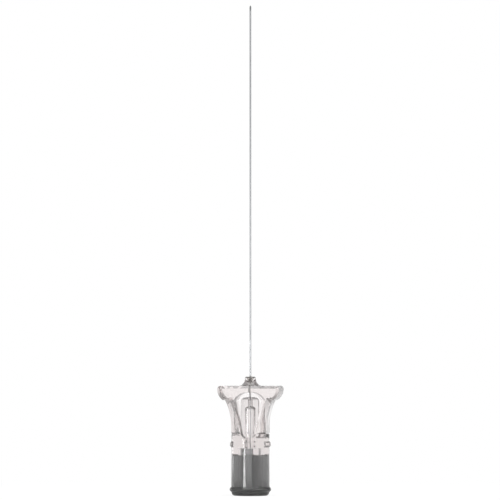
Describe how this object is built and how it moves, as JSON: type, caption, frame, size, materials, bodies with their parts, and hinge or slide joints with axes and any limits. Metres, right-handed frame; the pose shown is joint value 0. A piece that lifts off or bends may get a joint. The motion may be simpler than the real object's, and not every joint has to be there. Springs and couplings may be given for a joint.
{
  "type": "spinal needle",
  "caption": "Fine spinal needle with a ground tip, a clear winged hub and a stylet whose grey handle closes the hub's conical socket.",
  "frame": {"origin": "centre of the handle's flat end, which the needle stands on", "axes": "+Z along the shaft to the tip, -Y the side of the bevel and of the handle's tongue, X along the wings"},
  "size_m": [0.0148, 0.0098, 0.1162],
  "materials": {
    "clear_plastic": "polished",
    "steel_tube": "satin",
    "adhesive": "gloss",
    "steel_wire": "satin",
    "smoky_plastic": "gloss"
  },
  "bodies": {
    "needle": {"hub": "clear_plastic", "cannula": "steel_tube", "adhesive": "adhesive"},
    "stylet": {"stylet_handle": "smoky_plastic", "stylet_wire": "steel_wire"}
  },
  "joints": [
    {"name": "needle_slide", "type": "slide", "parent": "stylet", "child": "needle", "axis": [0, 0, 1], "range_m": [0, 0.115]}
  ]
}
